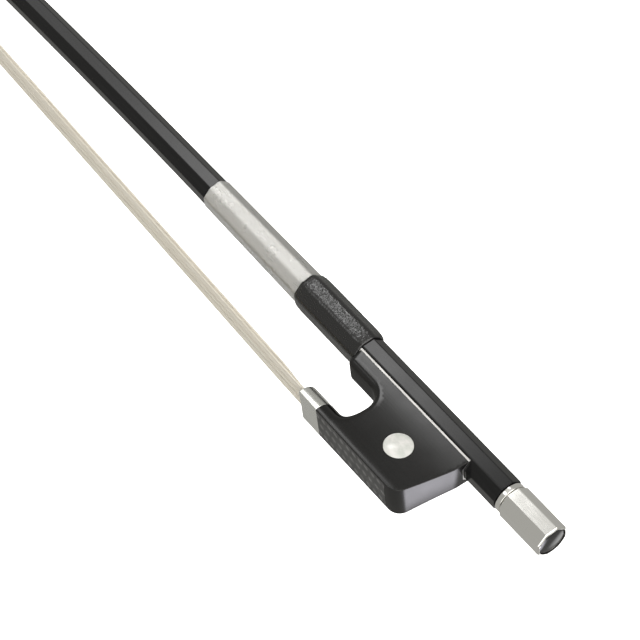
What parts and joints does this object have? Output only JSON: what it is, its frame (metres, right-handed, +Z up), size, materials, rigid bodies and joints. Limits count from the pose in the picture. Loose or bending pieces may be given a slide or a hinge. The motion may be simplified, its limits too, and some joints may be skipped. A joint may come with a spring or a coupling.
{
  "type": "viola bow",
  "caption": "Viola bow with a black octagonal stick, ebony frog, silver ferrule, horsehair ribbon and a screw button that draws the frog back to tighten the hair.",
  "frame": {"origin": "centre of the bounding box in plan, at the level of the ferrule's side, on which the bow lies", "axes": "+X along the stick towards the button, +Y from the hair towards the stick, +Z up out of the frog's side"},
  "size_m": [0.745, 0.0402, 0.0124],
  "materials": {
    "lacquered_carbon": "glossy black lacquer over carbon fibre",
    "ebony": "polished black",
    "polished_silver": "polished silver",
    "silver_wire": "fine wound wire, satin",
    "black_leather": "fine pebbled grain, satin",
    "pearl": "polished mother-of-pearl",
    "dark_pearl": "polished dark shell",
    "brass": "turned",
    "steel": "turned",
    "maple": "plain, unfinished",
    "white_plate": "polished, off-white",
    "horsehair": "natural bleached horsehair",
    "thread": "waxed"
  },
  "bodies": {
    "stick": {"stick": "lacquered_carbon", "winding": "silver_wire", "grip_leather": "black_leather", "head_liner": "ebony", "head_plate": "white_plate", "head_plug": "maple", "head_hair_knot": "horsehair", "head_knot_binding": "thread", "hair": "horsehair"},
    "frog": {"frog_body": "ebony", "ferrule": "polished_silver", "spread_wedge": "maple", "slide_inlay": "dark_pearl", "slide_backing": "ebony", "underslide": "polished_silver", "underslide_pin_front": "polished_silver", "underslide_pin_rear": "polished_silver", "eyelet": "brass", "frog_plug": "maple", "frog_hair_knot": "horsehair", "frog_knot_binding": "thread", "frog_eye_left": "pearl", "frog_eye_right": "pearl"},
    "adjuster": {"screw": "steel", "button_core": "ebony", "button_collar": "polished_silver", "button_shell": "polished_silver", "button_eye": "dark_pearl"}
  },
  "joints": [
    {"name": "screw_turn", "type": "hinge", "parent": "stick", "child": "adjuster", "pos_m": [0.35485, 0.004, 0.0062], "axis": [-1, 0, 0], "range_deg": [0, 3600]},
    {"name": "frog_slide", "type": "slide", "parent": "stick", "child": "frog", "axis": [1, 0, 0], "range_m": [0, 0.007], "deforming": ["hair"]}
  ],
  "couplings": [
    {"joint": "frog_slide", "follows": "screw_turn", "m_per_rad": 0.0001114}
  ]
}
